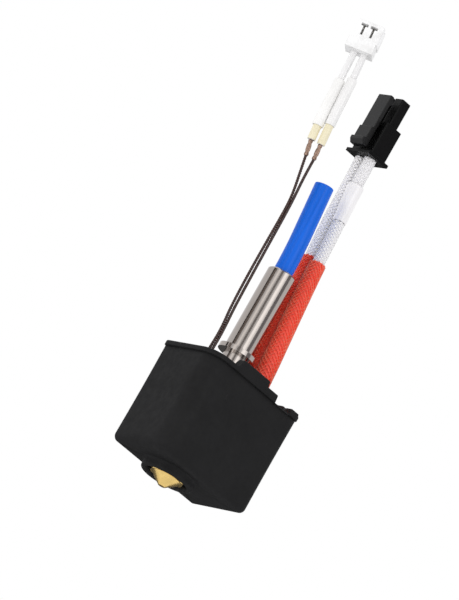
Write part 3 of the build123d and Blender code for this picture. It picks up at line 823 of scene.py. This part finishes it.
class HOTEND_OT_splices(Operator):
    """Crimps, cream tubes, outer tubes and plug leads of the thermistor"""
    bl_idname = "hotend.splices"
    bl_label = "Splices and plug leads"

    def execute(self, context):
        sensor = context.scene.hot_end_sensor
        metal = steel_ground("copper_alloy_crimped", linear("#A08677"), 0.30)
        cream = soft_plastic("ptfe_sleeving_cream", sensor.cream, 0.42)
        clear = soft_plastic("vinyl_clear", linear("#F8F7F7"), 0.24, 0.12, 900)
        # Outer tubes: radius in metres, and finish.
        tubes = {
            "a": (0.00115, soft_plastic("shrink_tube_white", linear("#F6F5F3"), 0.40, 0.0, 500)),
            "b": (0.00105, soft_plastic("shrink_tube_clear", linear("#F6F5F4"), 0.30, 0.05, 500)),
        }
        cream_radius, lead_radius = sensor.insulator_diameter / 2, sensor.lead_diameter / 2

        def shrunk(share):
            return 1 - 0.06 * share + 0.01 * math.sin(14 * share)

        def oval(angle, distance):
            return 1 + 0.03 * math.cos(2 * angle)

        for side, route in LEAD_ROUTES.items():
            ends = [Vector(SENSOR_ROUTES[side][-1]), Vector(route[0])]
            run = (ends[1] - ends[0]).length

            def folded(angle, distance, run=run):
                seam = 0.20 * math.exp(-((angle - math.pi * 1.5) / 0.30) ** 2)
                press = 0.10 * math.cos(2 * angle) * math.sin(math.pi * min(1.0, distance / run))
                return 1 - seam + press

            line = lead_line(f"lead_line_{side}", route)
            low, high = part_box(f"lead_tube_{side}")
            covered = stretch_between(line, low.z, high.z)
            low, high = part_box(f"splice_insulator_{side}")
            capped = stretch_between(line, line[0].z, high.z)
            radius, film = tubes[side]
            for title, node, slot, points, material, sides, section, profile in (
                    ("folded_crimp", "splice_crimp", "splice_metal", ends, metal, 28, folded,
                     [(run * along, sensor.crimp_diameter / 2 * wide) for along, wide in CRIMP]),
                    ("cream_tube", "splice_insulator", "cream_insulation", capped, cream, 28, None,
                     tube_profile(Along(capped).length, cream_radius, lead_radius + 0.00005,
                                  0.00008, 10)),
                    ("outer_tube", "lead_tube", "white_tube", covered, film, 36, oval,
                     tube_profile(Along(covered).length, radius, cream_radius + 0.00004,
                                  0.0001, 16, shrunk)),
                    ("plug_lead", "thermistor_lead", "clear_lead", line, clear, 24, None,
                     rod_profile(Along(line).length, lead_radius, 0.00008, 40))):
                piece = turned_along(f"{title}_{side}", points, profile, material, sides, section,
                                     closed=title.endswith("tube"))
                hand_over(piece, "hotend", f"{node}_{side}")
        return {"FINISHED"}


# ---- sock ----

# The long wall's rim: where it steps along X, its height after that above the plain rim, and how
# far the step blends before and beyond.
RIM_STEPS = ((-0.0039, 0.0018, 0.0004, 0.0005), (0.0044, 0.0006, 0.00013, 0.00013),
             (0.0077, -0.00095, 0.00013, 0.00013), (0.0122, 0.00035, 0.00013, 0.00013))
END_TAB = 0.0011          # height of the tab on the end wall
INNER_CORNER = 0.0004     # radius of the upright edges inside
COLLAR_HOLE = 0.00445     # radius of the nozzle collar's mouth
COLLAR_FOOT = 0.0019      # from the mouth out to where the flare meets the floor
# The collar's rolled lip: out from the mouth, and up from its lowest ring.
COLLAR_LIP = ((0.00002, 0.0007), (0.00016, 0.0003), (0.00045, 0.00008), (0.00075, 0.0),
              (0.00098, 0.00006), (0.00114, 0.00024), (0.00122, 0.0005))
# The rim band: how far it stands out, for the whole, and its height over the wall below it.
BAND = ((-0.30, -0.0002), (-0.45, -0.00012), (-0.40, -0.00005), (0.85, 0.0), (1.0, 0.00008))
# The rim's rounded edges outside and inside: drop from the top, and how far drawn in.
RIM_OUTSIDE = ((0.00026, 0.0), (0.00012, 0.00004), (0.00004, 0.00012), (0.0, 0.00026))
RIM_INSIDE = ((0.0, 0.0003), (0.00004, 0.00014), (0.00014, 0.00004), (0.0003, 0.0))
FILLET = 0.0003           # radius between the wall and the floor inside


def sock_outline(low, high, corner, broad, wall):
    """Points round the sock's wall, each with its outward direction and its twin on the inner face.

    The long wall towards -Y gets extra points where its rim steps up or down."""
    places = []
    inset = wall + INNER_CORNER
    near, right, far, left = low, Vector((high.x, low.y)), high, Vector((low.x, high.y))
    for one, two, outward, first, last in (
            (near, right, Vector((0, -1)), broad, corner),
            (right, far, Vector((1, 0)), corner, corner),
            (far, left, Vector((0, 1)), corner, corner),
            (left, near, Vector((-1, 0)), corner, broad)):
        along = (two - one).normalized()
        start, end = one + along * first, two - along * last
        span = (end - start).length
        shares = {round(i / 40, 4) for i in range(41)}
        if outward.y < 0:
            shares.update(round((step[0] + nudge * 0.00009 - start.x) / span, 5)
                          for step in RIM_STEPS for nudge in range(-2, 3))
        for share in sorted(shares):
            place = start + along * span * share
            reach = min(max(place.dot(along), one.dot(along) + inset), two.dot(along) - inset)
            inside = along * reach + outward * (place.dot(outward) - wall)
            places.append((place, outward, inside))
        centre = end - outward * last
        inner_centre = two - (along + outward) * inset
        for i in range(1, 10):
            angle = math.radians(9 * i)
            turned = outward * math.cos(angle) + along * math.sin(angle)
            places.append((centre + turned * last, turned, inner_centre + turned * INNER_CORNER))
    return places


def ease(low, high, value):
    """A smooth step from 0 to 1."""
    share = min(1.0, max(0.0, (value - low) / (high - low)))
    return share * share * (3 - 2 * share)


def rim_rise(place, outward):
    """How far the rim stands above the sock's plain rim, in metres."""
    if outward.x > 0.9:
        return END_TAB * (ease(-0.0050, -0.0041, place.y) - ease(0.0061, 0.0071, place.y))
    if outward.y > -0.9:
        return 0.0
    rise = before = 0.0
    for step, after, run_in, run_out in RIM_STEPS:
        rise += (after - before) * ease(step - run_in, step + run_out, place.x)
        before = after
    return rise


class HOTEND_OT_sock(Operator):
    """Silicone sock with its rim band, tab and nozzle collar"""
    bl_idname = "hotend.sock"
    bl_label = "Silicone sock"

    def execute(self, context):
        sock = context.scene.hot_end_sock
        low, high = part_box("silicone_sock")
        proud = sock.proud
        near = Vector((low.x + proud, low.y + proud))
        far = Vector((high.x - proud, high.y - proud))
        places = sock_outline(near, far, sock.corner, sock.near_corner, sock.wall)
        rim = high.z - RIM_STEPS[0][1]
        floor_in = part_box("heater_block")[0].z - 0.0001
        floor_out = floor_in - sock.floor
        edges = [sock.floor_edge + sock.soft_edge * math.exp(-((place - near).length / 0.011) ** 2)
                 for place, _, _ in places]
        rings = []

        def wall_ring(share, rise):
            """A ring round the outer face, drawn in by a share of the floor edge's radius."""
            rings.append([(*(place - outward * edge * share), floor_out + rise(edge))
                          for (place, outward, _), edge in zip(places, edges)])

        def inner_ring(height, offset=0.0):
            rings.append([(*(inside - outward * offset), height) for _, outward, inside in places])

        def round_ring(radius, height, share=1.0, inner=False):
            """A ring between the nozzle collar's circle and the wall's outline."""
            ring = []
            for (place, outward, inside), edge in zip(places, edges):
                base = inside - outward * FILLET if inner else place - outward * edge
                ring.append((*(base.normalized() * radius).lerp(base, 1 - share), height))
            rings.append(ring)

        # The collar's bore, its rolled lip, then the flare into the floor and the floor itself.
        round_ring(COLLAR_HOLE, floor_in - FILLET)
        round_ring(COLLAR_HOLE, floor_out)
        for out, up in COLLAR_LIP:
            round_ring(COLLAR_HOLE + out, low.z + up)
        flare = floor_out - (low.z + up)
        for i in range(1, 8):
            share = i / 8
            round_ring(COLLAR_HOLE + out + 0.00062 * share ** 2.4,
                       low.z + up + flare * math.sin(share * math.pi / 2))
        for share in (1.0, 0.85, 0.65, 0.45, 0.25, 0.1):
            round_ring(COLLAR_HOLE + COLLAR_FOOT, floor_out, share)
        for i in range(11):
            angle = math.radians(9 * i)
            wall_ring(1 - math.sin(angle), lambda edge, angle=angle: edge * (1 - math.cos(angle)))

        # The outer wall, faintly drawn in at mid height, then the band and the rim over to inside.
        tops = [rim + rim_rise(place, outward) for place, outward, _ in places]
        band_low = rim - sock.band
        straight = band_low - 0.0003 - floor_out
        for i in range(1, 15):
            wall_ring(0.05 * math.sin(i / 14 * math.pi),
                      lambda edge, share=i / 14: edge + (straight - edge) * share)
        for out, up in BAND:
            rings.append([(*(place + outward * proud * out), min(band_low + up, top - 0.00035))
                          for (place, outward, _), top in zip(places, tops)])
        for drop, back in RIM_OUTSIDE:
            rings.append([(*(place + outward * (proud - back)), top - drop)
                          for (place, outward, _), top in zip(places, tops)])
        for drop, back in RIM_INSIDE:
            rings.append([(*(inside + outward * back), top - drop)
                          for (_, outward, inside), top in zip(places, tops)])

        # Down the inner wall and over the floor to the bore.
        for height in (-0.0075, -0.012, -0.017, -0.022):
            inner_ring(height)
        for i in range(4):
            angle = math.radians(30 * i)
            inner_ring(floor_in + FILLET * (1 - math.sin(angle)), FILLET * (1 - math.cos(angle)))
        for share in (0.3, 0.6, 0.85, 1.0):
            round_ring(COLLAR_HOLE + FILLET, floor_in, share, inner=True)

        rubber = silicone_moulded(sock.tone)
        hand_over(ringed_piece("moulded_sock", rings, rubber, closed=True, smooth_angle=60),
                  "sock", "silicone_sock")
        return {"FINISHED"}


# ---- plugs ----

class HOTEND_OT_plugs(Operator):
    """Black two-way power plug with its latch lever, and small white thermistor plug"""
    bl_idname = "hotend.plugs"
    bl_label = "Plugs"

    def execute(self, context):
        finishes = context.scene.hot_end_finishes
        black, natural = finishes.black_nylon, finishes.natural_nylon
        # The black nylon comes in two copies. The housing's copy is darkened to 0.6 as painted
        # shade. The latch's copy is lightened to 1.3 as a painted sheen where it faces the light.
        body = nylon_moulded("nylon_black_painted_shade", scaled(black, 0.6), 0.34, 0.12)
        painted_sheen_nylon = nylon_moulded("nylon_black_painted_sheen", scaled(black, 1.3), 0.38, 0.32)
        white = nylon_moulded("nylon_natural_moulded", natural, 0.38, 0.5)
        for node, name, edge, nylon, rides_on, slot in (
                ("power_plug_housing", "moulded_power_housing", 0.00010, body,
                 "hotend", "black_nylon"),
                ("power_plug_latch", "moulded_power_latch", 0.00012, painted_sheen_nylon,
                 "latch", "black_nylon"),
                ("thermistor_plug_housing", "moulded_sensor_housing", 0.00014, white,
                 "hotend", "natural_nylon")):
            hand_over(softened(node, name, edge, nylon), rides_on, node)
        tin = steel_ground("phosphor_bronze_tinned", linear("#8F8C86"), 0.34)
        for plug in ("power", "thermistor"):
            dress(f"{plug}_terminal_a", tin)
            dress(f"{plug}_terminal_b", tin)
        return {"FINISHED"}


# ---- metal parts and liner ----

class HOTEND_OT_metal(Operator):
    """Heat break, nozzle, block, cartridges and grub screws"""
    bl_idname = "hotend.metal"
    bl_label = "Metal parts"

    def execute(self, context):
        finishes = context.scene.hot_end_finishes
        dress("heat_break", steel_turned(finishes.steel))
        dress("nozzle", brass_turned(finishes.brass))
        dress("heater_block", aluminium_milled(linear("#C9CACC")))
        dress("heater_ceramic_plug", ceramic_fired(linear("#E9E2D2")))
        cartridge = steel_ground("stainless_steel_ground", linear("#B4AFA9"), 0.32)
        oxide = steel_ground("steel_black_oxide", linear("#2C2C2E"), 0.42)
        for part in ("heater", "thermistor"):
            dress(f"{part}_cartridge", cartridge)
            dress(f"{part}_grub_screw", oxide)
        return {"FINISHED"}


class HOTEND_OT_liner(Operator):
    """Blue PTFE liner tube"""
    bl_idname = "hotend.liner"
    bl_label = "PTFE liner"

    def execute(self, context):
        dress("ptfe_liner", ptfe_drawn(context.scene.hot_end_finishes.liner))
        return {"FINISHED"}


class HOTEND_OT_declare_cords(Operator):
    """Does nothing; it finishes at once"""
    bl_idname = "hotend.declare_cords"
    bl_label = "State the free wires"

    def execute(self, context):
        return {"FINISHED"}


# ---- add-on ----

OPERATORS = (
    HOTEND_OT_stage, HOTEND_OT_wires, HOTEND_OT_sleeves, HOTEND_OT_splices, HOTEND_OT_sock,
    HOTEND_OT_plugs, HOTEND_OT_metal, HOTEND_OT_liner, HOTEND_OT_declare_cords,
)


class HOTEND_PT_build(Panel):
    """Lists the pieces that the add-on builds"""
    bl_label = "Hot end"
    bl_idname = "HOTEND_PT_build"
    bl_space_type = "VIEW_3D"
    bl_region_type = "UI"
    bl_category = "Hot end"

    def draw(self, context):
        column = self.layout.column()
        for operator in OPERATORS:
            column.operator(operator.bl_idname)


SETTINGS = {
    "hot_end_stage": HotEndStage, "hot_end_sock": HotEndSock, "hot_end_leads": HotEndLeads,
    "hot_end_sensor": HotEndSensor, "hot_end_finishes": HotEndFinishes,
}


def register():
    for cls in (*SETTINGS.values(), *OPERATORS, HOTEND_PT_build):
        bpy.utils.register_class(cls)
    for name, cls in SETTINGS.items():
        setattr(bpy.types.Scene, name, PointerProperty(type=cls))


def unregister():
    for name in SETTINGS:
        delattr(bpy.types.Scene, name)
    for cls in (HOTEND_PT_build, *reversed(OPERATORS), *reversed(tuple(SETTINGS.values()))):
        bpy.utils.unregister_class(cls)


def main():
    """Builds every piece."""
    register()
    for operator in OPERATORS:
        group, name = operator.bl_idname.split(".")
        getattr(getattr(bpy.ops, group), name)()


if __name__ == "__main__":
    main()
